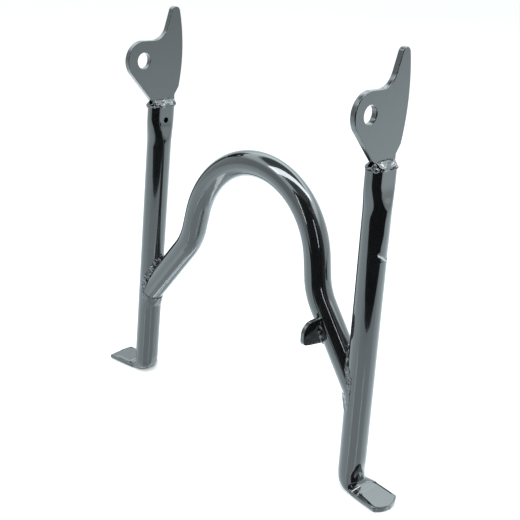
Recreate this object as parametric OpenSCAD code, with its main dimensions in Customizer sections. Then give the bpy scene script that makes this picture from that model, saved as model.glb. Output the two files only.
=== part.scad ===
// Centre stand of a light moped: two mirrored tube legs with flattened, turned-out feet,
// an arched cross tube between them, and a pivot plate welded on top of each leg.
// X runs across the stand, the pivot noses point to -Y, and the soles lie on Z = 0. The origin is on
// the ground, midway between the feet and midway between the plates' front and back.

/* [Tube] */
// Outside diameter of the leg tubes and of the arch tube
tube_d = 20; // [18:0.5:22]
// Wall thickness of the tubes
tube_wall = 2; // [1.2:0.1:2.4]
// Number of sides of a leg, a multiple of four
leg_sides = 40; // [24:4:56]

/* [Legs] */
// Distance between the two leg axes at the ground
foot_track = 237.6; // [200:1:280]
// Distance between the two leg axes at the tube mouths
top_track = 224; // [190:1:270]
// Height of the tube mouths
mouth_h = 240; // [200:1:280]
// Where the leg axis meets the ground, from the origin plane
foot_y = -5.7; // [-8:0.1:-3]
// Lean of the legs toward +Y, in degrees
leg_lean = 3; // [0:0.05:3.5]
// Thickness of the pressed tube mouth across the stand
mouth_t = 14; // [11:0.5:17]
// Length of the pressed tube mouth along Y
mouth_w = 23.4; // [21:0.2:25]
// Height over which the tube mouth keeps its pressed section
pressed_len = 13; // [8:1:16]
// Height of the blend from the pressed section to the round tube
blend_len = 18; // [12:1:22]
// Diameter of the vent hole in the inner side of each leg
vent_d = 4; // [2:0.5:6]
// Depth of the vent hole below the tube mouth
vent_drop = 13; // [8:1:20]

/* [Feet] */
// Reach of the left foot from the leg axis to its straight-cut end
left_reach = 35.2; // [30:0.2:40]
// Reach of the right foot from the leg axis to its rounded end
right_reach = 37.4; // [32:0.2:42]
// Width of the flattened foot
foot_w = 24; // [22:0.5:28]
// Thickness of the flattened foot, two walls pressed together
foot_t = 5; // [4.6:0.1:6]
// Distance from the leg axis at which the foot is fully flat
flat_from = 15; // [14:0.5:20]
// Radius along the foot's long edges
foot_edge = 1.8; // [1:0.1:2.3]
// How far the left foot's end bulges past its corners
left_bulge = 0.8; // [0.5:0.1:3]
// How far the right foot's end bulges past its corners
right_bulge = 5; // [2:0.5:7]
// Skew of the right foot's end, in degrees, which takes its +Y corner further out
right_skew = 5; // [0:0.5:8]
// Radius of the heel, where the inner wall turns under
heel_r = 11; // [8:0.5:14]
// Radius of the fold between the outer wall and the foot
fold_r = 3; // [2:0.5:5]
// Shift of the foot toward +Y where it leaves the leg
foot_shift = 2.6; // [0:0.2:4]
// Angle by which the foot turns toward -Y, in degrees
foot_toe = 6.4; // [0:0.2:10]
// Depth of the crease pressed into the outer wall above the foot
crease_depth = 2.4; // [0:0.1:3]

/* [Dent] */
// Depth of the old dent in the outer wall of the right leg
dent_depth = 0.9; // [0:0.1:1.5]
// Depth of the lower, sharper end of the dent below the tube mouth
dent_drop = 68; // [66:1:90]

/* [Arch] */
// Height at which the arch axis meets the leg axis
joint_h = 73.5; // [60:0.5:90]
// Radius of the arch's crown, along the tube axis
crown_r = 65.2; // [58:0.2:72]
// Slope of the arch's sides from the upright, in degrees
side_slope = 10.4; // [6:0.2:14]
// Slope of the arch's ends from the upright, in degrees
end_slope = 37.8; // [34:0.2:42]
// Radius of the bend between a side and an end
sweep_r = 47; // [40:1:55]
// Length of the straight side between crown and bend
side_len = 13.4; // [8:0.2:20]
// Lean of the arch's plane toward +Y, in degrees
arch_lean = 4.6; // [2:0.1:6]

/* [Pivot plates] */
// Thickness of the plates
plate_t = 4.5; // [3.5:0.1:6]
// Height of the pivot axis above the tube mouths
pivot_rise = 35.4; // [30:0.2:42]
// Distance of the pivot axis from the origin plane
pivot_y = -11.9; // [-15:0.1:-8]
// Bore for the pivot bolt
bore_d = 12.5; // [10:0.1:14]
// Radius of the round nose about the bore
nose_r = 15.2; // [13:0.2:17]
// Front corner of the plate's foot
neck_front = -1.9; // [-3:0.1:0]
// Back edge of the plate's foot
neck_back = 18.9; // [17.5:0.1:19.5]
// Height of the straight neck above the tube mouth
neck_h = 5.5; // [4:0.5:8]
// Height of the slope from the neck to the back edge
neck_slope_h = 6; // [4:0.5:8]
// Radius of the long, slightly bowed back edge
back_r = 137; // [110:1:170]
// Place of the horn's round tip along Y
tip_y = 20.3; // [18:0.1:22]
// Height of the centre of the horn's round tip above the pivot axis
tip_rise = 35.2; // [32:0.2:38]
// Radius of the horn's tip
tip_r = 4.2; // [3:0.1:5]
// Radius of the notch between nose and horn
notch_r = 13.5; // [12:0.1:15]
// Straight run of the edge between the nose and the notch
nose_run = 9.9; // [8:0.1:12]
// Straight run of the edge between the notch and the horn's tip
horn_run = 13.6; // [12:0.1:16]

/* [Tab] */
// Thickness of the tab on the arch's right end
tab_t = 3; // [2:0.1:4]
// Middle plane of the tab
tab_x = 81; // [79:0.5:84]
// Height of the tab's top edge above the arch's axis
tab_rise = 3.6; // [1:0.1:6]
// Height of the tab
tab_h = 17; // [14:0.5:20]
// Reach of the tab toward -Y from the arch's axis
tab_reach = 27.5; // [24:0.1:30]
// Radius of the tab's upper corner
tab_upper_r = 9; // [6:0.5:10]
// Radius of the tab's lower corner
tab_lower_r = 4.2; // [2:0.1:5]

/* [Welds] */
// Size of the fillet welds between arch and legs
arch_bead = 4; // [2.5:0.1:5]
// Size of the fillet welds on the tab
tab_bead = 2.2; // [1.5:0.1:3]
// Height of the domed weld that closes the tube mouth about the plate
dome_h = 6.5; // [4:0.5:8]
// How far the domed weld stands proud of the tube mouth
dome_proud = 0.8; // [0.3:0.1:1.2]
// Height of the ripples in the weld beads, as a share of the bead
ripple = 0.22; // [0:0.02:0.35]

/* [Hidden] */
$fn = 96;
tube_r = tube_d / 2;
leg_x = foot_track / 2;
splay = (foot_track - top_track) / 2 / mouth_h;
lean = tan(leg_lean);
leg_dir = [-splay, lean, 1] / norm([-splay, lean, 1]);
round_top = mouth_h - pressed_len - blend_len;
dent_h = mouth_h - dent_drop;
pivot_h = mouth_h + pivot_rise;
tip_h = pivot_h + tip_rise;
lap = 1;
seat_gap = 0.05;
weld_gap = 0.12;
hair = 0.06;
core_len = 6 * tube_d;
enamel = "#1d2123";

// A point of the leg axis at a height
function axis_at(z) = [leg_x - splay * z, foot_y + lean * z, z];
// Smooth step from 0 to 1
function ease(t) = let (c = min(1, max(0, t))) c * c * (3 - 2 * c);
// Bell-shaped weight of a place near a centre
function bell(d, width) = exp(-(d / width) * (d / width));

// Leg sections. A section is [inner trace point, outer trace point, half width, y shift, corner radius,
// skew], where the trace points are [distance outward from the leg axis, height].

// Round or pressed section of the upright tube at a height
function upright(z) = let (p = ease((z - round_top) / blend_len),
    half_t = tube_r + p * (mouth_t / 2 - tube_r), off = -splay * z)
    [[off - half_t, z], [off + half_t, z], tube_r + p * (mouth_w / 2 - tube_r), lean * z, half_t, 0];
// Section in the bend, from 0 at the leg to 1 where the heel meets the ground
function bend(t) = let (a = 90 * t, low = [-tube_r + heel_r * (1 - cos(a)), heel_r * (1 - sin(a))],
    high = [tube_r + fold_r * (1 - cos(a)), foot_t + fold_r * (1 - sin(a))])
    [low, high, tube_r + ease(t) * (foot_w / 2 - tube_r),
     ease(t) * foot_shift + (1 - ease(t)) * lean * heel_r, norm(high - low) / 2, 0];
// Section of the flattening foot, from 0 at the heel to 1 where it is flat
function flatten(t) = let (heel = heel_r - tube_r, fold = tube_r + fold_r,
    low = heel + t * (flat_from - heel), high = fold + t * (flat_from - fold))
    [[low, 0], [high, foot_t], foot_w / 2, foot_shift - tan(foot_toe) * t * flat_from,
     norm([high - low, foot_t]) / 2 * (1 - t) + foot_edge * t, 0];
// Section in the end of the foot, at a share of the arc that closes it; an end is [reach, bulge, skew]
function toe(part, end) = let (end_r = (foot_w * foot_w / 4 + end[1] * end[1]) / (2 * end[1]),
    a = 2 * atan(end[1] / (foot_w / 2)) * part, u = end[0] - end_r * (1 - cos(a)))
    [[u, 0], [u, foot_t], end_r * sin(a), foot_shift - tan(foot_toe) * u, foot_edge, tan(end[2])];

left_end = [left_reach, left_bulge, 0];
right_end = [right_reach, right_bulge, right_skew];
function leg_sections(end) = concat(
    [for (k = [1:4]) toe(k / 4, end)],
    [for (t = [1, 0.7, 0.4, 0.15]) flatten(t)],
    [for (t = [1, 0.8, 0.6, 0.4, 0.2, 0]) bend(t)],
    [for (z = [heel_r + 4, heel_r + 9, heel_r + 16, heel_r + 26, dent_h - 8, dent_h - 3, dent_h,
        dent_h + 4, dent_h + 9, dent_h + 16, dent_h + 26]) upright(z)],
    [for (k = [0:6]) upright(round_top + blend_len * k / 6)],
    [upright(mouth_h)]);
bore_sections = [upright(mouth_h), upright(mouth_h - pressed_len), upright(mouth_h - pressed_len - blend_len / 2),
    upright(round_top), upright(heel_r + 16), bend(0), bend(0.4), bend(0.8)];

// How far the outer wall is pressed in at a point of a section, by the crease and by the dent
function press(dir, z, dented) =
    crease_depth * bell(z - 13, 5) * pow(max(0, dir * [0.94, -0.34]), 3)
    + (dented ? dent_depth * pow(max(0, dir.x), 2) * ease((z - dent_h + 3) / 3)
        * (1 - ease((z - dent_h - 4) / 26)) : 0);
// Ring of points of one section, shrunk by inset
function ring(s, inset, dented) = let (across = s[1] - s[0], half_t = norm(across) / 2,
    e = across / norm(across), mid = (s[0] + s[1]) / 2, r = s[4] - inset)
    [for (k = [0:leg_sides - 1]) let (a = (k + 0.5) * 360 / leg_sides, c = cos(a), d = sin(a),
        w0 = sign(c) * (half_t - s[4]) + r * c,
        w = w0 - (inset > 0 ? 0 : c * press([c, d], mid.y + e.y * w0, dented)),
        h = sign(d) * (s[2] - s[4]) + r * d)
        [leg_x + mid.x + e.x * w + s[5] * h, foot_y + s[3] + h, mid.y + e.y * w]];
// Triangles between ring i and ring i + 1 of a loft with n points a ring
function band(i, n) = [for (k = [0:n - 1]) let (a = i * n + k, b = i * n + (k + 1) % n)
    each [[a, b, b + n], [a, b + n, a + n]]];

// A leg as one bent and pressed tube, closed inside where the foot is crushed flat
module leg_tube(end, dented) {
    n = leg_sides;
    outer = [for (s = leg_sections(end)) ring(s, 0, dented)];
    inner = [for (s = bore_sections) ring(s, tube_wall, false)];
    rings = concat(outer, inner);
    points = [for (r = rings) each r];
    count = len(rings);
    faces = concat([[for (k = [0:n - 1]) n - 1 - k]],
        [for (i = [0:count - 2]) each band(i, n)],
        [[for (k = [0:n - 1]) (count - 1) * n + k]]);
    polyhedron(points, [for (f = faces) [for (k = [len(f) - 1:-1:0]) f[k]]]);
}

// A right leg, with its vent hole drilled from the inner side
module leg(end, dented) {
    difference() {
        leg_tube(end, dented);
        translate(axis_at(mouth_h - vent_drop)) rotate([0, -90, 0]) cylinder(d = vent_d, h = tube_d, $fn = 24);
    }
}

// Arch path in its own leaning plane, with x across the stand and y up the plane
arch_end = axis_at(joint_h);
side_dir = [sin(side_slope), -cos(side_slope)];
end_dir = [sin(end_slope), -cos(end_slope)];
bend_out = [cos(side_slope), sin(side_slope)];
// Sideways run of crown, side and bend, which leaves the rest to the straight end
bend_end_x = crown_r * cos(side_slope) + side_len * sin(side_slope)
    + sweep_r * (cos(side_slope) - cos(end_slope));
end_len = (arch_end.x - bend_end_x) / sin(end_slope);
bend_end_y = end_len * cos(end_slope);
bend_centre = [bend_end_x + sweep_r * cos(end_slope), bend_end_y + sweep_r * sin(end_slope)];
side_end = bend_centre - sweep_r * bend_out;
crown_end = side_end - side_len * side_dir;
crown_centre = crown_end - crown_r * bend_out;

// Place what is drawn in the arch's plane
module in_arch_plane() {
    translate([0, arch_end.y, joint_h]) rotate([90 - arch_lean, 0, 0]) children();
}
// Straight run of radius r from a point, lapped a little past both ends
module straight_run(from, dir, r, length) {
    translate([from.x - lap * dir.x, from.y - lap * dir.y, 0]) rotate([0, 0, atan2(dir.y, dir.x)])
        rotate([0, 90, 0]) cylinder(r = r, h = length + 2 * lap);
}
// Bent run about a centre, from an angle over a sweep; it is a hair thicker than the straight runs
module bent_run(centre, bend_r, start, sweep, r) {
    translate([centre.x, centre.y, 0]) rotate([0, 0, start])
        rotate_extrude(angle = sweep) translate([bend_r, 0]) circle(r + hair);
}
// The whole run of the arch: crown, then a side, a bend and a straight end on each side
module arch_run(r) {
    in_arch_plane() {
        bent_run([0, crown_centre.y], crown_r, side_slope, 180 - 2 * side_slope, r);
        for (side = [0, 1]) mirror([side, 0, 0]) {
            straight_run(crown_end, side_dir, r, side_len);
            bent_run(bend_centre, sweep_r, 180 + side_slope, end_slope - side_slope, r);
            straight_run([bend_end_x, bend_end_y], end_dir, r, end_len - lap);
        }
    }
}
// Straight solid along a leg axis, as the cutter that copes the arch's ends
module leg_core(side) {
    mirror([side, 0, 0]) translate(axis_at(joint_h) - leg_dir * core_len / 2)
        rotate([0, acos(leg_dir.z), atan2(leg_dir.y, leg_dir.x)]) cylinder(r = tube_r + seat_gap, h = core_len);
}

// The arch's hollow tube, coped at both ends to sit on the legs
module arch_tube() {
    color(enamel) difference() {
        arch_run(tube_r);
        arch_run(tube_r - tube_wall);
        leg_core(0);
        leg_core(1);
    }
}

// Plate outline in the plane of Y and Z, from arcs and their tangents
nose = [pivot_y, pivot_h];
tip = [tip_y, tip_h];
foot_back = [neck_back, mouth_h + neck_h];
// Angle of the line from a to b
function heading(a, b) = atan2(b.y - a.y, b.x - a.x);
// Unit vector at an angle
function unit(a) = [cos(a), sin(a)];
// Distance of two circles' centres with a straight run of that length crossing between them
function apart(r1, r2, run) = norm([r1 + r2, run]);
// Corner angle between the sides a and b of a triangle whose third side is c
function corner(a, b, c) = acos((a * a + b * b - c * c) / (2 * a * b));
notch_gap = apart(nose_r, notch_r, nose_run);
notch = nose + notch_gap * unit(heading(nose, tip)
    + corner(notch_gap, norm(tip - nose), apart(tip_r, notch_r, horn_run)));
// Point of the nose where the flank from the plate's front corner touches it
flank_from = [neck_front, mouth_h];
flank_turn = heading(nose, flank_from) - acos(nose_r / norm(flank_from - nose));
flank_touch = nose + nose_r * unit(flank_turn);
// Touching points of the lines from the nose and from the tip to the notch
nose_turn = heading(nose, notch) + atan(nose_run / (nose_r + notch_r));
tip_turn = heading(tip, notch) - atan(horn_run / (tip_r + notch_r)) + 360;
// Centre of the back edge's arc, which passes the slope's top and touches the tip from outside
slope_top = [neck_back + neck_slope_h * 0.72, foot_back.y + neck_slope_h];
back_gap = norm(slope_top - tip);
back_turn = corner(back_gap, back_r - tip_r, back_r);
back_centre = tip + (back_r - tip_r) * unit(heading(tip, slope_top) - back_turn);
// Points of an arc about a centre, from one angle to another
function arc(centre, r, from, to, n) = [for (k = [0:n]) centre + r * unit(from + (to - from) * k / n)];
plate_outline = concat([flank_from], arc(nose, nose_r, flank_turn + 360, nose_turn, 40),
    arc(notch, notch_r, nose_turn + 180, tip_turn + 180, 22),
    arc(tip, tip_r, tip_turn, heading(back_centre, tip), 16),
    arc(back_centre, back_r, heading(back_centre, tip), heading(back_centre, slope_top), 14),
    [foot_back, [neck_back, mouth_h]]);
// A right pivot plate, standing on the tube mouth, with its bore
module pivot_plate() {
    color(enamel) translate([top_track / 2 + plate_t / 2, 0, 0]) difference() {
        rotate([90, 0, -90]) mirror([1, 0, 0]) linear_extrude(plate_t) polygon(plate_outline);
        translate([-plate_t - 1, pivot_y, pivot_h]) rotate([0, 90, 0]) cylinder(d = bore_d, h = plate_t + 2);
    }
}

// Height and depth of the arch's axis at the tab, which the tab's outline starts from
tab_along = (arch_end.x - tab_x) / tan(end_slope);
tab_top = joint_h + tab_along * cos(arch_lean) + tab_rise;
tab_back = arch_end.y + tab_along * sin(arch_lean);
tab_out = tab_back - tab_reach;

// A flat tab with a rounded outer side, coped to the arch's right end
module side_tab() {
    low = tab_top - tab_h;
    color(enamel) difference() {
        translate([tab_x - tab_t / 2, 0, 0]) rotate([90, 0, 90]) linear_extrude(tab_t) hull() {
            translate([tab_out + tab_upper_r, tab_top - tab_upper_r]) circle(tab_upper_r, $fn = 64);
            translate([tab_out + tab_lower_r, low + tab_lower_r]) circle(tab_lower_r, $fn = 48);
            translate([tab_back - 3, low - 4]) square([1, tab_h + 4]);
        }
        arch_run(tube_r);
    }
}

// Loft of closed rings, all of n points; a loop joins its last ring to its first
module ring_loop(rings) {
    n = len(rings[0]);
    m = len(rings);
    points = [for (r = rings) each r];
    polyhedron(points, [for (i = [0:m - 1]) for (k = [0:n - 1]) let (a = i * n + k, b = i * n + (k + 1) % n,
        c = ((i + 1) % m) * n + (k + 1) % n, d = ((i + 1) % m) * n + k) each [[a, c, b], [a, d, c]]]);
}
module ring_stack(rings) {
    n = len(rings[0]);
    m = len(rings);
    polyhedron([for (r = rings) each r], concat([[for (k = [0:n - 1]) k]],
        [for (i = [0:m - 2]) each [for (k = [0:n - 1]) let (a = i * n + k, b = i * n + (k + 1) % n)
            each [[a, a + n, b + n], [a, b + n, b]]]],
        [[for (k = [0:n - 1]) (m - 1) * n + n - 1 - k]]));
}

// Fillet section between a root, two toes and a point under the bead, with a swollen face
function bead_section(root, toe_a, toe_b, under, swell) = let (out = (toe_a + toe_b) / 2 - root)
    concat([root, toe_a], [for (t = [0.2, 0.5, 0.8])
        toe_a + (toe_b - toe_a) * t + out * 4 * t * (1 - t) * swell], [toe_b, under]);

// Frame of the arch's right end in space: along it, in the plane across it, and across the plane
function lean_up(v) = [v.x, v.y * sin(arch_lean), v.y * cos(arch_lean)];
end_axis = lean_up(-end_dir);
end_side = lean_up([cos(end_slope), sin(end_slope)]);
end_front = cross(end_axis, end_side);
// Part of a vector across the leg axis
function across_leg(v) = v - (v * leg_dir) * leg_dir;
// Point at an angle about the arch's end axis, at radius r, where it meets the leg's surface
function saddle(a, r, extra) = let (ray = r * (cos(a) * end_side + sin(a) * end_front),
    w0 = across_leg(ray), w1 = across_leg(end_axis), b = w0 * w1,
    disc = max(0, b * b - (w1 * w1) * (w0 * w0 - tube_r * tube_r)),
    p = ray + ((-b + sqrt(disc)) / (w1 * w1) + extra) * end_axis)
    arch_end + p;
// The same point brought just off the leg's surface
function on_leg(p) = let (q = p - arch_end, w = across_leg(q))
    arch_end + (q - w) + w * (tube_r + weld_gap) / norm(w);

// The weld round one end of the arch
module arch_weld(side) {
    steps = 56;
    color(enamel) mirror([side, 0, 0]) ring_loop([for (k = [0:steps - 1]) let (a = 360 * k / steps,
        size = arch_bead * (1 + ripple * sin(a * 9 + 40 * sin(a * 2)) * 0.6),
        swell = 0.25 + ripple * sin(a * 14 + 25 * cos(a)),
        root = on_leg(saddle(a, tube_r, 0)), toe = on_leg(saddle(a, tube_r + size, 0)))
        bead_section(root, saddle(a, tube_r, size), toe, on_leg((root + toe) / 2), swell)]);
}

// Stadium ring of the domed weld at a height above the tube mouth
function dome_ring(z, half_t, half_w, phase) = [for (k = [0:35]) let (a = (k + 0.5) * 10,
    lump = 1 + ripple * 0.35 * sin(a * 5 + phase))
    [top_track / 2 + half_t * cos(a) * lump,
     axis_at(mouth_h).y + sign(sin(a)) * (half_w - half_t) + half_t * sin(a) * lump, mouth_h + z]];
// The domed weld that closes the tube mouth, slotted for the plate
module plate_weld(side) {
    half_t = mouth_t / 2;
    half_w = mouth_w / 2;
    color(enamel) mirror([side, 0, 0]) difference() {
        ring_stack([dome_ring(0, half_t - 0.4, half_w - 0.2, 0), dome_ring(0.2 * dome_h, half_t + dome_proud / 2,
            half_w + dome_proud, 40), dome_ring(0.5 * dome_h, half_t - 0.9, half_w + dome_proud, 110),
            dome_ring(0.8 * dome_h, half_t - 2.6, half_w, 190),
            dome_ring(dome_h, half_t - 3.9, half_w - 1.6, 260)]);
        pivot_slot();
    }
}
// The slot for the plate, as thick as the plate and long enough for its neck
module pivot_slot() {
    translate([top_track / 2 - plate_t / 2, 0, 0]) rotate([90, 0, 90]) linear_extrude(plate_t)
        polygon([flank_from - [0, 1], flank_from + (flank_touch - flank_from) * 0.6,
            [neck_back, mouth_h + dome_h + 4], [neck_back, mouth_h - 1]]);
}

// Point of the arch's right end where the plane of a tab face meets it, at an angle of the end axis
function tab_root(x, a) = let (ray = tube_r * (cos(a) * end_side + sin(a) * end_front),
    s = (x - arch_end.x - ray.x) / end_axis.x) arch_end + ray + s * end_axis;
// A fillet weld along one face of the tab
module tab_weld(side) {
    steps = 14;
    face = tab_x + side * tab_t / 2;
    color(enamel) ring_stack([for (k = [0:steps]) let (t = side > 0 ? 1 - k / steps : k / steps,
        a = -82 - 74 * t, size = tab_bead * (0.55 + 0.45 * sin(180 * t)) * (1 + ripple * sin(1300 * t)),
        root = tab_root(face, a), toe = tab_root(face + side * size, a))
        bead_section(root, root - [0, size, 0], toe, tab_root(face + side * size / 2, a), 0.3)]);
}

color(enamel) mirror([1, 0, 0]) leg(left_end, false);  // left_leg
color(enamel) leg(right_end, true);  // right_leg
arch_tube();
mirror([1, 0, 0]) pivot_plate();  // left_pivot_plate
pivot_plate();  // right_pivot_plate
side_tab();
plate_weld(1);  // left_plate_weld
plate_weld(0);  // right_plate_weld
arch_weld(1);  // left_arch_weld
arch_weld(0);  // right_arch_weld
tab_weld(1);  // outer_tab_weld
tab_weld(-1);  // inner_tab_weld
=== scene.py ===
# Moped centre stand in glossy black enamel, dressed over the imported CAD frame
import bpy, math
from mathutils import Vector, Matrix


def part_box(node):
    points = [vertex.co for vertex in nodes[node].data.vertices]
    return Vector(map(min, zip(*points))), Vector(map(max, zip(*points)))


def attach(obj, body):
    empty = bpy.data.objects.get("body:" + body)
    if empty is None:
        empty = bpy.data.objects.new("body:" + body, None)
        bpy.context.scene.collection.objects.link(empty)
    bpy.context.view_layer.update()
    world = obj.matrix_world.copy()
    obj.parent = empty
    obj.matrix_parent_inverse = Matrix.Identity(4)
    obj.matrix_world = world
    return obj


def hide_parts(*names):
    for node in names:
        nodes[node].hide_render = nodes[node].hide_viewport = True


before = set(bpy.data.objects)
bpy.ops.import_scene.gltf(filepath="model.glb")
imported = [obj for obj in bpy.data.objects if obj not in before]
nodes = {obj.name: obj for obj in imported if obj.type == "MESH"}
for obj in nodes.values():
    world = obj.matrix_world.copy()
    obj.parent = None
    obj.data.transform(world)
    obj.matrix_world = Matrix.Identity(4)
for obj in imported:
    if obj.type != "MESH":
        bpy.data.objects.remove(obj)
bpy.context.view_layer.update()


def linear(code):
    # sRGB hex to linear colour
    parts = [int(code[i:i + 2], 16) / 255 for i in (1, 3, 5)]
    return tuple(c / 12.92 if c <= 0.04045 else ((c + 0.055) / 1.055) ** 2.4 for c in parts) + (1.0,)


def addNode(tree, kind, settings=None, links=None):
    # one node: plain settings by attribute name, sockets by "in:Name"; links as {input: socket}
    n = tree.nodes.new(kind)
    for key, value in (settings or {}).items():
        if key.startswith("in:"):
            name = key[3:]
            n.inputs[int(name) if name.isdigit() else name].default_value = value
        else:
            setattr(n, key, value)
    for key, socket in (links or {}).items():
        tree.links.new(socket, n.inputs[key])
    return n


def emptyMaterial(name):
    m = bpy.data.materials.new(name)
    m.use_nodes = True
    m.node_tree.nodes.clear()
    return m


# Finishes
enamel = {
    "colour": "#17191a",
    "deepColour": "#121415",
    "cloudMm": 34.0,                    # slow drift between the two blacks
    "ior": 1.56,                        # stoved enamel, matched to the gloss of the real one
    "roughness": (0.088, 0.176),
    "coatIor": 1.75,
    "coatRoughness": 0.045,
    "orangePeelMm": 1.6,                # size of the orange peel, drawn a little coarse so that it shows
    "orangePeel": 0.012,
    "orangePeelRise": 0.0004,
    "waveMm": 19.0,                     # slow unevenness of the rolled tube and the flat plates
    "wave": 0.018,
    "waveRise": 0.004,
    "lumpMm": 3.6,                      # drops and ripples of the weld metal
    "lumpRise": 0.0018,
}


def makeEnamel(name, peel=1.0, wave=1.0, lumps=0.0):
    # Gloss black stoved enamel over pickled steel: near-black body, wet-looking clear top,
    # faint orange peel, slow waves of the metal under it, and lumps where it covers weld metal
    m = emptyMaterial(name)
    t = m.node_tree
    place = addNode(t, "ShaderNodeTexCoord").outputs["Object"]
    cloud = addNode(t, "ShaderNodeTexNoise", {"in:Scale": 1000 / enamel["cloudMm"], "in:Detail": 4.0},
                    {"Vector": place}).outputs["Fac"]
    tint = addNode(t, "ShaderNodeMapRange", {"in:From Min": 0.35, "in:From Max": 0.7}, {"Value": cloud})
    body = addNode(t, "ShaderNodeMix", {
        "data_type": "RGBA", "in:6": linear(enamel["deepColour"]), "in:7": linear(enamel["colour"])},
        {"Factor": tint.outputs[0]})
    smooth, dull = enamel["roughness"]
    rough = addNode(t, "ShaderNodeMapRange", {
        "in:From Min": 0.3, "in:From Max": 0.75, "in:To Min": smooth, "in:To Max": dull}, {"Value": cloud})
    waves = addNode(t, "ShaderNodeTexNoise", {"in:Scale": 1000 / enamel["waveMm"], "in:Detail": 1.0},
                    {"Vector": place})
    skin = addNode(t, "ShaderNodeBump", {
        "in:Strength": enamel["wave"] * wave, "in:Distance": enamel["waveRise"]},
        {"Height": waves.outputs["Fac"]})
    grain = addNode(t, "ShaderNodeTexNoise", {"in:Scale": 1000 / enamel["orangePeelMm"], "in:Detail": 2.0},
                    {"Vector": place})
    skin = addNode(t, "ShaderNodeBump", {
        "in:Strength": enamel["orangePeel"] * peel, "in:Distance": enamel["orangePeelRise"]},
        {"Height": grain.outputs["Fac"], "Normal": skin.outputs[0]})
    if lumps:
        blobs = addNode(t, "ShaderNodeTexNoise", {
            "in:Scale": 1000 / enamel["lumpMm"], "in:Detail": 1.0, "in:Distortion": 0.4}, {"Vector": place})
        skin = addNode(t, "ShaderNodeBump", {"in:Strength": lumps, "in:Distance": enamel["lumpRise"]},
                       {"Height": blobs.outputs["Fac"], "Normal": skin.outputs[0]})
    gloss = addNode(t, "ShaderNodeBsdfPrincipled", {
        "in:IOR": enamel["ior"], "in:Coat Weight": 1.0, "in:Coat IOR": enamel["coatIor"],
        "in:Coat Roughness": enamel["coatRoughness"]},
        {"Base Color": body.outputs[2], "Roughness": rough.outputs[0], "Normal": skin.outputs[0],
         "Coat Normal": skin.outputs[0]})
    addNode(t, "ShaderNodeOutputMaterial", {}, {"Surface": gloss.outputs[0]})
    return m


# light grey metal tones of the painted glint on the right leg's nick
steel = {"dark": "#aeb2b4", "light": "#eef0f0", "glintNoiseMm": 1.2, "metallic": 0.6, "roughness": 0.55}


def makeBareSteel():
    # painted highlight on the nick: brushed light grey metal with a soft glint, in place of the bright
    # reflection on the dent's edge
    m = emptyMaterial("nickedSteel")
    t = m.node_tree
    place = addNode(t, "ShaderNodeTexCoord").outputs["Object"]
    scratch = addNode(t, "ShaderNodeTexNoise", {"in:Scale": 1000 / steel["glintNoiseMm"], "in:Detail": 2.0},
                      {"Vector": place})
    tone = addNode(t, "ShaderNodeMix", {
        "data_type": "RGBA", "in:6": linear(steel["dark"]), "in:7": linear(steel["light"])},
        {"Factor": scratch.outputs["Fac"]})
    bare = addNode(t, "ShaderNodeBsdfPrincipled", {
        "in:Metallic": steel["metallic"], "in:Roughness": steel["roughness"]},
        {"Base Color": tone.outputs[2]})
    addNode(t, "ShaderNodeOutputMaterial", {}, {"Surface": bare.outputs[0]})
    return m


tubeEnamel = makeEnamel("tubeEnamel")
nickedSteel = makeBareSteel()
plateEnamel = makeEnamel("plateEnamel", peel=1.3, wave=0.4)
weldEnamel = makeEnamel("weldEnamel", lumps=0.45)


# Tools
def only(obj):
    for o in list(bpy.context.selected_objects):
        o.select_set(False)
    bpy.context.view_layer.objects.active = obj
    obj.select_set(True)


def edit(obj):
    only(obj)
    bpy.ops.object.mode_set(mode="EDIT")


def leave():
    bpy.ops.object.mode_set(mode="OBJECT")


def copyNode(name, pieceName):
    # a welded copy of a CAD node's mesh, to be finished as a piece of its own
    piece = bpy.data.objects.new(pieceName, nodes[name].data.copy())
    bpy.context.scene.collection.objects.link(piece)
    piece.data.materials.clear()
    edit(piece)
    bpy.ops.mesh.select_all(action="SELECT")
    bpy.ops.mesh.remove_doubles(threshold=2e-6)
    leave()
    return piece


def modify(obj, kind, **settings):
    only(obj)
    mod = obj.modifiers.new(kind.lower(), kind)
    for key, value in settings.items():
        setattr(mod, key, value)
    bpy.ops.object.modifier_apply(modifier=mod.name)


def cutRound(piece, radius, depth, at, turn, sides):
    # a round cutter taken out of the piece
    bpy.ops.object.select_all(action="DESELECT")
    bpy.ops.mesh.primitive_cylinder_add(vertices=sides, radius=radius, depth=depth, location=at,
                                        rotation=turn)
    cutter = bpy.context.active_object
    modify(piece, "BOOLEAN", operation="DIFFERENCE", object=cutter, solver="EXACT")
    bpy.data.objects.remove(cutter)


def shadeSmooth(piece, degrees):
    only(piece)
    bpy.ops.object.shade_smooth_by_angle(angle=math.radians(degrees))


def settle(piece, node, finish):
    # finish, ride and stand in for the CAD node
    piece.data.materials.clear()
    piece.data.materials.append(finish)
    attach(piece, "root")
    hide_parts(node)


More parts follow.
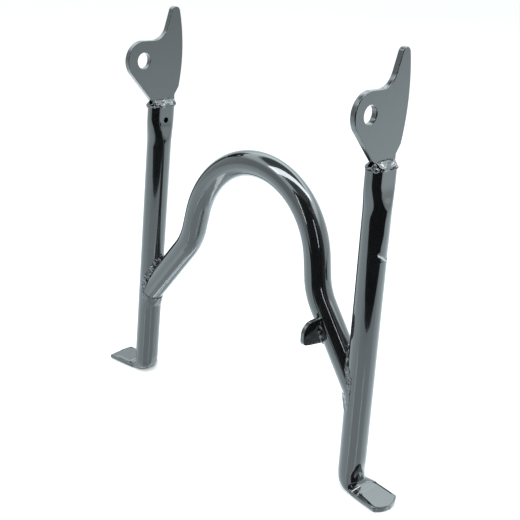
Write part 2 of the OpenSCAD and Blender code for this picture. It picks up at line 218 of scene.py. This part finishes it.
# Legs: a grid wrapped into a tube, shaped into the pressed mouth, the heel and the crushed foot (all in mm)
leg = {
    "sides": 96,
    "tubeR": 10.0,
    "wall": 2.0,
    "axisX": 118.8,                     # where the tube's axis meets the floor, with footY
    "footY": -5.7,
    "splay": 0.02833,                   # slopes of the axis, inward and backward
    "lean": math.tan(math.radians(3.0)),
    "mouthH": 237.5,                    # the weld's lower edge, under the CAD mouth, which it covers
    "mouthHalfT": 7.0,
    "mouthHalfW": 11.7,
    "mouthCorners": {"left": 6.6, "right": 5.4},
    "pressedLen": 10.0,
    "blendLen": 21.0,
    "heelR": 11.0,
    "foldR": 3.0,
    "footHalfW": 12.0,
    "footT": 5.0,
    "footEdge": 1.8,
    "footShift": 2.6,
    "flatFrom": 15.0,
    "toeSlope": 0.1122,                 # the foot points a little forward
    "ends": {"left": (35.2, 0.8, 0.0), "right": (37.4, 5.0, 0.0875)},       # reach, bulge, skew
    "ventD": 4.6,
    "ventDrop": 10.5,
    "smoothUnder": 48,
    "shaftRows": (13.0, 2.4, 62),       # rows up the shaft, closer about the dent: start, step, number
    "dentRows": (166.0, 0.35, 60),
    "topRows": (189.0, 2.0, 24),
    "boreRows": (0, 10, 20, 31, 90, 180),   # depths under the mouth
}

# What press and wear left on the legs, and where a glint is painted on the nick
marks = {
    "creaseDepth": 2.9,                 # the crease above the foot
    "creaseH": 11.5,
    "creaseTall": 6.5,
    "creaseToward": (0.94, -0.34),      # outward and backward
    "creaseSharp": 2.4,
    "ridge": 0.12,                      # two faint ridges from the press
    "ridgeTurns": (25.0, 63.0),
    "ridgeWide": 4.0,
    "ridgeFrom": 20.0,
    "ridgeTop": 92.0,
    "ridgeFade": (8.0, 30.0),           # lengths over which they rise and die away
    "grooveDepth": 0.85,                # the crushed top wall sinks behind the foot's front lip
    "grooveWide": 2.8,
    "grooveFrom": 11.0,
    "grooveFade": (17.0, 20.0),         # start and length, toward the toe
    "lipWide": 0.3,
    "lipStep": 0.6,
    "dentH": 177.0,                     # the right leg's old dent, and the sharp nick at its lower end
    "dentDepth": 0.45,
    "dentTall": 17.0,
    "nickH": 178.4,
    "nickTurn": 84.0,                   # heading of its middle, from -Y toward +X
    "nickSpan": 30.0,
    "nickSlope": 3.1,
    "nickDepth": 0.45,
    "nickUnder": 0.9,                   # how far it reaches below and above its line
    "nickOver": 2.2,
    "nickGlintShare": 0.95,                   # share of its span painted as a bright glint
}


def ease(t):
    t = min(max(t, 0.0), 1.0)
    return t * t * (3 - 2 * t)


def bell(d, width):
    return math.exp(-(d / width) ** 2)


def upright(z, corner=6.0):
    # a section is inner and outer trace point (out, up), half width, y shift, corner radius, skew
    pressed = ease((z - leg["mouthH"] + leg["pressedLen"] + leg["blendLen"]) / leg["blendLen"])
    halfT = leg["tubeR"] + pressed * (leg["mouthHalfT"] - leg["tubeR"])
    halfW = leg["tubeR"] + pressed * (leg["mouthHalfW"] - leg["tubeR"])
    rounding = leg["tubeR"] + pressed * (corner - leg["tubeR"])
    axis = -leg["splay"] * z
    return ((axis - halfT, z), (axis + halfT, z), halfW, leg["lean"] * z, rounding, 0.0)


def heelBend(t):
    a = math.radians(90 * t)
    across, up = 1 - math.cos(a), 1 - math.sin(a)
    low = (leg["heelR"] * across - leg["tubeR"], leg["heelR"] * up)
    high = (leg["tubeR"] + leg["foldR"] * across, leg["footT"] + leg["foldR"] * up)
    halfW = leg["tubeR"] + ease(t) * (leg["footHalfW"] - leg["tubeR"])
    shift = ease(t) * leg["footShift"] + (1 - ease(t)) * leg["lean"] * leg["heelR"]
    return (low, high, halfW, shift, math.dist(low, high) / 2, 0.0)


def footShift(reach):
    return leg["footShift"] - leg["toeSlope"] * reach


def flatten(t):
    heel, fold = leg["heelR"] - leg["tubeR"], leg["tubeR"] + leg["foldR"]
    low = (heel + t * (leg["flatFrom"] - heel), 0)
    high = (fold + t * (leg["flatFrom"] - fold), leg["footT"])
    corner = math.dist(low, high) / 2 * (1 - t) + leg["footEdge"] * t
    return (low, high, leg["footHalfW"], footShift(t * leg["flatFrom"]), corner, 0.0)


def flatFoot(reach, end):
    skew = end[2] * (reach - leg["flatFrom"]) / (end[0] - leg["flatFrom"])
    return ((reach, 0), (reach, leg["footT"]), leg["footHalfW"], footShift(reach), leg["footEdge"], skew)


def toe(part, end):
    # the foot's end is an arc across its width
    reach, bulge, skew = end
    endR = (leg["footHalfW"] ** 2 + bulge ** 2) / (2 * bulge)
    a = 2 * math.atan(bulge / leg["footHalfW"]) * part
    out = reach - endR * (1 - math.cos(a))
    return ((out, 0), (out, leg["footT"]), endR * math.sin(a), footShift(out), leg["footEdge"], skew)


def legRows(end, corner):
    # every section from the toe's end up to the mouth, then down the bore: (section, wall inset)
    flatLen = end[0] - leg["flatFrom"]
    foot = [toe(k / 8, end) for k in range(1, 9)]
    foot += [flatFoot(end[0] - flatLen * k / 10, end) for k in range(4, 10)]
    foot += [flatten(k / 12) for k in range(12, 0, -1)]
    foot += [heelBend(k / 18) for k in range(18, -1, -1)]
    shaft = []
    for start, step, number in (leg["shaftRows"], leg["dentRows"], leg["topRows"]):
        shaft += [upright(start + step * k, corner) for k in range(number)]
    bore = [upright(leg["mouthH"] - depth, corner) for depth in leg["boreRows"]]
    bore += [heelBend(t) for t in (0, 0.4, 0.8)]
    outside = foot + shaft + [upright(leg["mouthH"], corner)]
    return [(section, 0) for section in outside] + [(section, leg["wall"]) for section in bore]


def nickPlace(heading, z):
    # place along and across the nick, a shallow crescent round the outer wall
    along = (heading - marks["nickTurn"]) / marks["nickSpan"]
    return along, z - marks["nickH"] + marks["nickSlope"] * along


# which faces of the nick carry the painted glint
def inNick(centre):
    section = upright(centre.z * 1000)
    x = centre.x * 1000 - leg["axisX"] - (section[0][0] + section[1][0]) / 2
    y = centre.y * 1000 - leg["footY"] - section[3]
    along, up = nickPlace(math.degrees(math.atan2(x, -y)), centre.z * 1000)
    onOutside = math.hypot(x, y) > leg["tubeR"] - leg["wall"] / 2
    upTo = 0.25 + 0.35 * (1 - abs(along))
    return onOutside and abs(along) < marks["nickGlintShare"] and -marks["nickUnder"] < up < upTo


def pressIn(faceOut, faceBack, z, right):
    # how far the outer wall lies in, by the crease above the foot, the dent and its nick, less the ridges
    toward = marks["creaseToward"][0] * faceOut + marks["creaseToward"][1] * faceBack
    deep = marks["creaseDepth"] * bell(z - marks["creaseH"], marks["creaseTall"])
    deep *= max(0, toward) ** marks["creaseSharp"]
    heading = math.degrees(math.atan2(faceOut, -faceBack))
    fadeIn, fadeOut = marks["ridgeFade"]
    for turn in marks["ridgeTurns"]:
        reach = ease((marks["ridgeTop"] - z) / fadeOut) * ease((z - marks["ridgeFrom"]) / fadeIn)
        deep -= marks["ridge"] * bell(heading - turn, marks["ridgeWide"]) * reach
    if right:
        up = z - marks["dentH"]
        hollow = ease((up + 1) / 2) * (1 - ease(up / marks["dentTall"]))
        deep += marks["dentDepth"] * max(0, faceOut) ** 2 * hollow
        along, up = nickPlace(heading, z)
        hollow = ease((up + marks["nickUnder"]) / marks["nickUnder"]) * (1 - ease(up / marks["nickOver"]))
        deep += marks["nickDepth"] * ease(1.4 * (1 - along * along)) * hollow
    return deep


def groove(reach, fromFront):
    # deepest beside the heel, fading toward the toe
    inward = fromFront - marks["lipWide"]
    across = ease(inward / marks["lipStep"]) * (1 - ease((inward - marks["lipStep"]) / marks["grooveWide"]))
    fadeAt, fadeLen = marks["grooveFade"]
    return marks["grooveDepth"] * across * ease((reach - marks["grooveFrom"]) / 3) * (
        1 - ease((reach - fadeAt) / fadeLen))


def ringPoint(section, inset, turn, right):
    # a point of the section's outline, at a share of a turn; the outline is walked by its length
    low, high, halfW, shift, corner, skew = section
    halfT = math.dist(low, high) / 2
    outward = ((high[0] - low[0]) / (2 * halfT), (high[1] - low[1]) / (2 * halfT))
    mid = ((low[0] + high[0]) / 2, (low[1] + high[1]) / 2)
    quarter = int(turn * 4) % 4
    share = turn * 4 - quarter
    share = share if quarter % 2 == 0 else 1 - share
    flatW, arc, flatT = halfW - corner, corner * math.pi, halfT - corner     # an arc counts double
    walked = share * (flatW + arc + flatT)
    if walked < flatW:
        faceOut, faceBack, out, back = 1.0, 0.0, halfT - inset, walked
    elif walked < flatW + arc:
        a = (walked - flatW) / arc * math.pi / 2
        faceOut, faceBack = math.cos(a), math.sin(a)
        out, back = halfT - corner + (corner - inset) * faceOut, flatW + (corner - inset) * faceBack
    else:
        faceOut, faceBack, out, back = 0.0, 1.0, flatT - (walked - flatW - arc), halfW - inset
    if quarter in (1, 2):
        faceOut, out = -faceOut, -out
    if quarter in (2, 3):
        faceBack, back = -faceBack, -back
    if inset == 0:
        out -= faceOut * pressIn(faceOut, faceBack, mid[1] + outward[1] * out, right)
        if mid[0] > 12 and faceOut > 0.5:
            out -= groove(mid[0], back + halfW)
    return (leg["axisX"] + mid[0] + outward[0] * out + skew * back, leg["footY"] + shift + back,
            mid[1] + outward[1] * out)


def makeLeg(side):
    # the grid's rows become the sections and its columns run round them
    sign = 1 if side == "right" else -1
    rows = legRows(leg["ends"][side], leg["mouthCorners"][side])
    count, sides = len(rows) - 1, leg["sides"]
    bpy.ops.object.select_all(action="DESELECT")
    bpy.ops.mesh.primitive_grid_add(x_subdivisions=sides, y_subdivisions=count, size=2)
    piece = bpy.context.active_object
    piece.name = side + "LegTube"
    for v in piece.data.vertices:
        column, row = round((v.co.x + 1) / 2 * sides), round((v.co.y + 1) / 2 * count)
        x, y, z = ringPoint(*rows[row], ((column + 0.5) / sides) % 1.0, side == "right")
        v.co = (sign * x / 1000, y / 1000, z / 1000)
    edit(piece)
    bpy.ops.mesh.select_all(action="SELECT")
    bpy.ops.mesh.remove_doubles(threshold=1e-6)
    bpy.ops.mesh.fill_holes(sides=0)
    bpy.ops.mesh.normals_make_consistent(inside=False)
    leave()
    vent = upright(leg["mouthH"] - leg["ventDrop"])
    ventAt = (sign * (leg["axisX"] + vent[0][0]) / 1000, (leg["footY"] + vent[3]) / 1000, vent[0][1] / 1000)
    cutRound(piece, leg["ventD"] / 2000, 0.012, ventAt, (0, math.radians(90), 0), 32)
    shadeSmooth(piece, leg["smoothUnder"])
    settle(piece, side + "_leg", tubeEnamel)
    if side == "right":
        # the nick's faces get the painted glint, light grey metal in place of the reflection on the dent's
        # edge
        piece.data.materials.append(nickedSteel)
        for face in piece.data.polygons:
            face.material_index = 1 if inNick(face.center) else 0
    return piece


for side in ("left", "right"):
    made = makeLeg(side)
    print("leg", side, len(made.data.polygons), [round(v * 1000, 2) for v in made.bound_box[0]],
          [round(v * 1000, 2) for v in made.bound_box[6]])


# Arch: a circle extruded and spun along its path, coped on the legs (in metres and degrees)
arch = {
    "sides": 56,
    "tubeR": 0.010,
    "wall": 0.002,
    "crownR": 0.0652,
    "sideSlope": 10.4,
    "sideLen": 0.0134,
    "sweepR": 0.047,
    "endSlope": 37.8,
    "lean": 4.6,
    "jointH": 0.0735,                   # where its axis meets the leg's
    "copeR": 0.01005,
    "smoothUnder": 40,
}


def legAxis(z, sign=1):
    # a point of a leg's axis at a height, in metres
    x = leg["axisX"] / 1000 - leg["splay"] * z
    return Vector((sign * x, leg["footY"] / 1000 + leg["lean"] * z, z))


def makeArch():
    # the ring starts at the right leg's axis, square to the end run, and goes over to the left leg's
    sideTurn, endTurn = math.radians(arch["sideSlope"]), math.radians(arch["endSlope"])
    crownR, sweepR, sideLen = arch["crownR"], arch["sweepR"], arch["sideLen"]
    joint = legAxis(arch["jointH"])
    bendX = crownR * math.cos(sideTurn) + sideLen * math.sin(sideTurn)
    bendX += sweepR * (math.cos(sideTurn) - math.cos(endTurn))
    endLen = (joint.x - bendX) / math.sin(endTurn)
    endOut = Vector((math.cos(endTurn), math.sin(endTurn)))
    bendCentre = Vector((bendX, endLen * math.cos(endTurn))) + sweepR * endOut
    out = Vector((math.cos(sideTurn), math.sin(sideTurn)))
    down = Vector((math.sin(sideTurn), -math.cos(sideTurn)))
    crownCentre = bendCentre - sweepR * out - sideLen * down - crownR * out
    endDir = Vector((-math.sin(endTurn), math.cos(endTurn)))
    tilt = Matrix.Rotation(math.radians(90 - arch["lean"]), 4, "X")
    front = tilt @ Vector((0, 0, 1))

    def place(p):
        # from the arch's own plane to the stand
        return Vector((0, joint.y, joint.z)) + tilt @ Vector((p[0], p[1], 0))

    def run(direction, length, steps):
        for _ in range(steps):
            move = tilt @ Vector((direction[0], direction[1], 0)) * (length / steps)
            bpy.ops.mesh.extrude_region_move(TRANSFORM_OT_translate={"value": move})

    def bend(centre, degrees, steps):
        bpy.ops.mesh.spin(steps=steps, angle=-math.radians(degrees), center=place(centre), axis=front)

    start = place((joint.x, 0))
    turn = (tilt @ Vector((endDir[0], endDir[1], 0))).to_track_quat("Z", "Y").to_euler()
    bpy.ops.object.select_all(action="DESELECT")
    bpy.ops.mesh.primitive_circle_add(vertices=arch["sides"], radius=arch["tubeR"], location=start,
                                      rotation=turn)
    piece = bpy.context.active_object
    piece.name = "archTube"
    bpy.ops.object.transform_apply(location=True, rotation=True, scale=True)
    edit(piece)
    bpy.ops.mesh.select_all(action="SELECT")
    run(endDir, endLen, 6)
    bend(bendCentre, -(arch["endSlope"] - arch["sideSlope"]), 10)
    run(-down, sideLen, 2)
    bend(crownCentre, 180 - 2 * arch["sideSlope"], 56)
    run(Vector((-down[0], down[1])), sideLen, 2)
    bend(Vector((-bendCentre[0], bendCentre[1])), -(arch["endSlope"] - arch["sideSlope"]), 10)
    run(Vector((endDir[0], -endDir[1])), endLen, 6)
    bpy.ops.mesh.select_all(action="SELECT")
    bpy.ops.mesh.remove_doubles(threshold=1e-6)
    bpy.ops.mesh.normals_make_consistent(inside=False)
    leave()
    return piece


def cope(piece):
    # wall first, then a cut round each leg's axis
    modify(piece, "SOLIDIFY", thickness=arch["wall"], offset=-1.0)
    for sign in (-1, 1):
        joint = legAxis(arch["jointH"], sign)
        axis = legAxis(1, sign) - legAxis(0, sign)
        cutRound(piece, arch["copeR"], 0.12, joint, axis.to_track_quat("Z", "Y").to_euler(), 96)
    shadeSmooth(piece, arch["smoothUnder"])


archPiece = makeArch()
print("arch reach", [round(v, 4) for v in archPiece.bound_box[0]],
      [round(v, 4) for v in archPiece.bound_box[6]])
cope(archPiece)
settle(archPiece, "arch_tube", tubeEnamel)


# Plates and tab: the cut edges eased
plate = {
    "easedEdge": 0.0007,
    "tabEdge": 0.0008,
    "flatWithin": 1.5,                  # degrees, as are the next two
    "edgeOver": 38,
    "smoothUnder": 36,
}


def easeEdges(nodeName, pieceName, width):
    piece = copyNode(nodeName, pieceName)
    edit(piece)
    bpy.ops.mesh.select_all(action="SELECT")
    bpy.ops.mesh.dissolve_limited(angle_limit=math.radians(plate["flatWithin"]))
    leave()
    modify(piece, "BEVEL", width=width, segments=3, limit_method="ANGLE",
           angle_limit=math.radians(plate["edgeOver"]))
    shadeSmooth(piece, plate["smoothUnder"])
    modify(piece, "WEIGHTED_NORMAL", keep_sharp=True)
    settle(piece, nodeName, plateEnamel)


for side in ("left", "right"):
    easeEdges(side + "_pivot_plate", side + "PivotPlate", plate["easedEdge"])
easeEdges("side_tab", "sideTab", plate["tabEdge"])
print("plates and tab eased")


# Welds: the beads smoothed, swollen where the real ones are heaped, and roughened
weld = {
    "level": 2,
    "smoothing": 6,
    "beadMm": 4.2,                      # size of the lumps, and of the scale on them
    "scaleMm": 1.5,
    "scaleShare": 0.35,
    "middle": 0.45,                     # grey of the lump texture that leaves the metal where it is
    "plateRise": 0.0028,                # how far the lumps stand out
    "archRise": 0.0030,
    "tabRise": 0.0010,
    "thinning": 24,                     # the lower part of an arch weld is a thin, even bead
    "thinFrom": 0.135,                  # shares of its height between which it turns heaped
    "heapedFrom": 0.585,
    "evenRise": 0.12,                   # share of the lumps that the even part keeps
    "capAt": 0.2371,                    # the cap weld sits lower and flatter than its CAD node
    "capShare": 0.88,                   # of the CAD node's height
    "smoothUnder": 70,
}


def lowerCap(piece):
    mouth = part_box("right_leg")[1][2]
    for v in piece.data.vertices:
        v.co.z = weld["capAt"] + (v.co.z - mouth) * weld["capShare"]


def thinLower(piece):
    # shrinks the bead's lower part, and leaves a group that says where the lumps are
    heights = [v.co.z for v in piece.data.vertices]
    bottom, tall = min(heights), max(heights) - min(heights)
    thin, heaped = piece.vertex_groups.new(name="thin"), piece.vertex_groups.new(name="heaped")
    for v in piece.data.vertices:
        up = (v.co.z - bottom) / tall
        share = ease((up - weld["thinFrom"]) / (weld["heapedFrom"] - weld["thinFrom"]))
        thin.add([v.index], 1 - share, "REPLACE")
        heaped.add([v.index], weld["evenRise"] + (1 - weld["evenRise"]) * share, "REPLACE")
    modify(piece, "SMOOTH", factor=0.5, iterations=weld["thinning"], vertex_group="thin")


def makeWeld(nodeName, pieceName, rise):
    piece = copyNode(nodeName, pieceName)
    onArch = "arch" in nodeName
    if "plate" in nodeName:
        lowerCap(piece)
    modify(piece, "SUBSURF", levels=weld["level"], render_levels=weld["level"], subdivision_type="SIMPLE")
    if onArch:
        thinLower(piece)
    modify(piece, "SMOOTH", factor=0.5, iterations=weld["smoothing"])
    layers = (("bead", weld["beadMm"], rise), ("scale", weld["scaleMm"], rise * weld["scaleShare"]))
    for name, size, strength in layers:
        lump = bpy.data.textures.new(pieceName + name, "CLOUDS")
        lump.noise_scale = size / 1000
        lump.noise_depth = 1
        modify(piece, "DISPLACE", texture=lump, strength=strength, mid_level=weld["middle"],
               texture_coords="LOCAL", vertex_group="heaped" if onArch else "")
    shadeSmooth(piece, weld["smoothUnder"])
    settle(piece, nodeName, weldEnamel)


for side in ("left", "right"):
    makeWeld(side + "_plate_weld", side + "PlateWeld", weld["plateRise"])
    makeWeld(side + "_arch_weld", side + "ArchWeld", weld["archRise"])
makeWeld("outer_tab_weld", "outerTabWeld", weld["tabRise"])
makeWeld("inner_tab_weld", "innerTabWeld", weld["tabRise"])
print("welds roughened")


# Studio: pale sheet, overhead strip lamp, dark room behind the camera
camera = {
    "lens": 64.25,                      # mm, on a sensor 36 mm wide
    "sensor": 36,
    "at": (0.4628, -0.4665, 0.4047),
    "turn": (68.206, -2.178, 44.891),   # degrees about X, Y and Z
    "pictureWide": 520,                 # pixels
    "centre": (259.8, 257.4),           # the pixel that the lens points at
}
studio = {
    "paper": "#f7fafa",
    "paperGlow": 0.4,
    "mirrored": "#ecfbff",              # the cool white that the enamel mirrors
    "mirroredGlow": 0.25,
    "satin": 0.26,                      # share of satin sheen on the sheet, in what the enamel mirrors
    "satinRoughness": 0.06,
    "sheet": (12, 12),
    "sheetEdge": 0.45,                  # where the pale sheet ends in the enamel, toward the camera
    "edgeTurn": 51.7,                   # heading of that edge's normal, from -Y toward +X
    "flag": "#0e0f10",
    "floorFlag": (4.0, 1.4),
    "roomFlag": (5.4, 3.0),
    "softLight": 0.62,
    "wallBand": (0.45, 0.62, 2.4),      # heights over which the mirrored wall brightens, and to what
    "ceiling": (0.75, 0.82, 0.1),       # heights over which it goes dark, and to what
    "lightSide": (0.7, 0.7, 0.0),
    "sides": (0.8, 1.35),               # strength of the room's dark and light side
}
lamps = {
    "colour": "#f3f9ff",
    "stripAt": (0.0, -0.12, 1.5),
    "stripSize": (0.36, 2.7),
    "stripTurn": -35,
    "stripRadiance": 7.0,
    "uprightTurns": (2.0, 63.0),        # headings of the two upright strip lamps beside the camera
    "uprightFar": 1.6,
    "uprightH": 0.95,
    "uprightSize": (0.07, 0.9),
    "uprightRadiance": 8.0,
}


def makeCamera():
    data = bpy.data.cameras.new("camera")
    data.lens = camera["lens"]
    data.sensor_width = camera["sensor"]
    wide = camera["pictureWide"]
    data.shift_x = (wide / 2 - camera["centre"][0]) / wide
    data.shift_y = (camera["centre"][1] - wide / 2) / wide
    cam = bpy.data.objects.new("camera", data)
    bpy.context.scene.collection.objects.link(cam)
    cam.location = camera["at"]
    cam.rotation_euler = [math.radians(v) for v in camera["turn"]]
    bpy.context.scene.camera = cam


def makeCard(name, size, finish, seen=True):
    bpy.ops.object.select_all(action="DESELECT")
    bpy.ops.mesh.primitive_plane_add(size=1)
    card = bpy.context.active_object
    card.name = name
    card.scale = (size[0], size[1], 1)
    card.data.materials.append(finish)
    if not seen:
        card.visible_camera = False
        card.visible_diffuse = False
        card.visible_shadow = False
        card.visible_transmission = False
    return card


def seenRays(tree):
    # camera, glossy and transmission rays, apart from those that only light the stage
    path = addNode(tree, "ShaderNodeLightPath")
    first = addNode(tree, "ShaderNodeMath", {"operation": "MAXIMUM"},
                    {0: path.outputs["Is Camera Ray"], 1: path.outputs["Is Transmission Ray"]})
    return path, addNode(tree, "ShaderNodeMath", {"operation": "MAXIMUM"},
                         {0: first.outputs[0], 1: path.outputs["Is Glossy Ray"]})


def makeSheet():
    # matt white paper, lifted to plain white for the camera; the enamel mirrors it cooler and satin
    paper = emptyMaterial("paperSheet")
    t = paper.node_tree
    path, seen = seenRays(t)
    matt = addNode(t, "ShaderNodeBsdfDiffuse", {"in:Color": linear(studio["paper"])})
    glow = addNode(t, "ShaderNodeEmission", {
        "in:Color": linear(studio["paper"]), "in:Strength": studio["paperGlow"]})
    lit = addNode(t, "ShaderNodeAddShader", {}, {0: matt.outputs[0], 1: glow.outputs[0]})
    coolMatt = addNode(t, "ShaderNodeBsdfDiffuse", {"in:Color": linear(studio["mirrored"])})
    coolGlow = addNode(t, "ShaderNodeEmission", {
        "in:Color": linear(studio["mirrored"]), "in:Strength": studio["mirroredGlow"]})
    cool = addNode(t, "ShaderNodeAddShader", {}, {0: coolMatt.outputs[0], 1: coolGlow.outputs[0]})
    sheen = addNode(t, "ShaderNodeBsdfGlossy", {
        "in:Color": (1, 1, 1, 1), "in:Roughness": studio["satinRoughness"]})
    satin = addNode(t, "ShaderNodeMixShader", {"in:Fac": studio["satin"]},
                    {1: cool.outputs[0], 2: sheen.outputs[0]})
    plain = addNode(t, "ShaderNodeMixShader", {},
                    {"Fac": seen.outputs[0], 1: matt.outputs[0], 2: lit.outputs[0]})
    pick = addNode(t, "ShaderNodeMixShader", {},
                   {"Fac": path.outputs["Is Glossy Ray"], 1: plain.outputs[0], 2: satin.outputs[0]})
    addNode(t, "ShaderNodeOutputMaterial", {}, {"Surface": pick.outputs[0]})
    makeCard("floorSheet", studio["sheet"], paper)


def makeFlags():
    # dark cards that only the enamel mirrors: the floor toward the camera and the room behind it
    flag = emptyMaterial("blackFlag")
    dark = addNode(flag.node_tree, "ShaderNodeEmission", {"in:Color": linear(studio["flag"])})
    addNode(flag.node_tree, "ShaderNodeOutputMaterial", {}, {"Surface": dark.outputs[0]})
    turn = math.radians(studio["edgeTurn"])
    normal = Vector((math.sin(turn), -math.cos(turn), 0))
    near, far = studio["floorFlag"], studio["roomFlag"]
    floor = makeCard("floorFlag", near, flag, seen=False)
    floor.rotation_euler = (0, 0, turn)
    floor.location = normal * (studio["sheetEdge"] + near[1] / 2) + Vector((0, 0, 0.002))
    room = makeCard("roomFlag", far, flag, seen=False)
    room.rotation_euler = (math.radians(90), 0, turn)
    room.location = normal * (studio["sheetEdge"] + near[1]) + Vector((0, 0, far[1] / 2))


def makeRoom():
    # white to the camera, soft as light; the enamel mirrors a bright band of wall under a dark ceiling
    world = bpy.data.worlds.new("world")
    bpy.context.scene.world = world
    world.use_nodes = True
    t = world.node_tree
    t.nodes.clear()
    path, seen = seenRays(t)
    direction = addNode(t, "ShaderNodeTexCoord").outputs["Generated"]
    height = addNode(t, "ShaderNodeSeparateXYZ", {}, {0: direction}).outputs["Z"]
    ranges = []
    for low, high, end in (studio["ceiling"], studio["wallBand"]):
        ranges.append(addNode(t, "ShaderNodeMapRange", {
            "in:From Min": low, "in:From Max": high, "in:To Min": 1.0, "in:To Max": end},
            {"Value": height}))
    toward = addNode(t, "ShaderNodeVectorMath", {"operation": "DOT_PRODUCT", "in:1": studio["lightSide"]},
                     {0: direction})
    side = addNode(t, "ShaderNodeMapRange", {
        "in:From Min": -1.0, "in:From Max": 1.0, "in:To Min": studio["sides"][0],
        "in:To Max": studio["sides"][1]}, {"Value": toward.outputs["Value"]})
    raised = addNode(t, "ShaderNodeMath", {"operation": "MULTIPLY"},
                     {0: ranges[0].outputs[0], 1: ranges[1].outputs[0]})
    room = addNode(t, "ShaderNodeMath", {"operation": "MULTIPLY"},
                   {0: raised.outputs[0], 1: side.outputs[0]})
    soft = addNode(t, "ShaderNodeBackground", {
        "in:Color": (1, 1, 1, 1), "in:Strength": studio["softLight"]})
    white = addNode(t, "ShaderNodeBackground", {"in:Color": (1, 1, 1, 1), "in:Strength": 1.0})
    mirrored = addNode(t, "ShaderNodeBackground", {"in:Color": linear(studio["mirrored"])},
                       {"Strength": room.outputs[0]})
    plain = addNode(t, "ShaderNodeMixShader", {},
                    {"Fac": seen.outputs[0], 1: soft.outputs[0], 2: white.outputs[0]})
    pick = addNode(t, "ShaderNodeMixShader", {},
                   {"Fac": path.outputs["Is Glossy Ray"], 1: plain.outputs[0], 2: mirrored.outputs[0]})
    addNode(t, "ShaderNodeOutputWorld", {}, {"Surface": pick.outputs[0]})


def makeLamp(name, at, size, aim, radiance):
    data = bpy.data.lights.new(name, "AREA")
    data.shape = "RECTANGLE"
    data.size, data.size_y = size
    data.energy = radiance * math.pi * size[0] * size[1]
    data.color = linear(lamps["colour"])[:3]
    lamp = bpy.data.objects.new(name, data)
    bpy.context.scene.collection.objects.link(lamp)
    lamp.location = at
    lamp.rotation_euler = aim


makeCamera()
makeSheet()
makeFlags()
makeRoom()
makeLamp("stripLamp", lamps["stripAt"], lamps["stripSize"], (0, 0, math.radians(lamps["stripTurn"])),
         lamps["stripRadiance"])
for k, heading in enumerate(lamps["uprightTurns"]):
    aim = math.radians(heading)
    far = lamps["uprightFar"]
    makeLamp("uprightLamp%d" % k, (far * math.sin(aim), -far * math.cos(aim), lamps["uprightH"]),
             lamps["uprightSize"], (math.radians(90), 0, aim), lamps["uprightRadiance"])
bpy.context.scene.view_settings.view_transform = "Standard"
print("studio set")
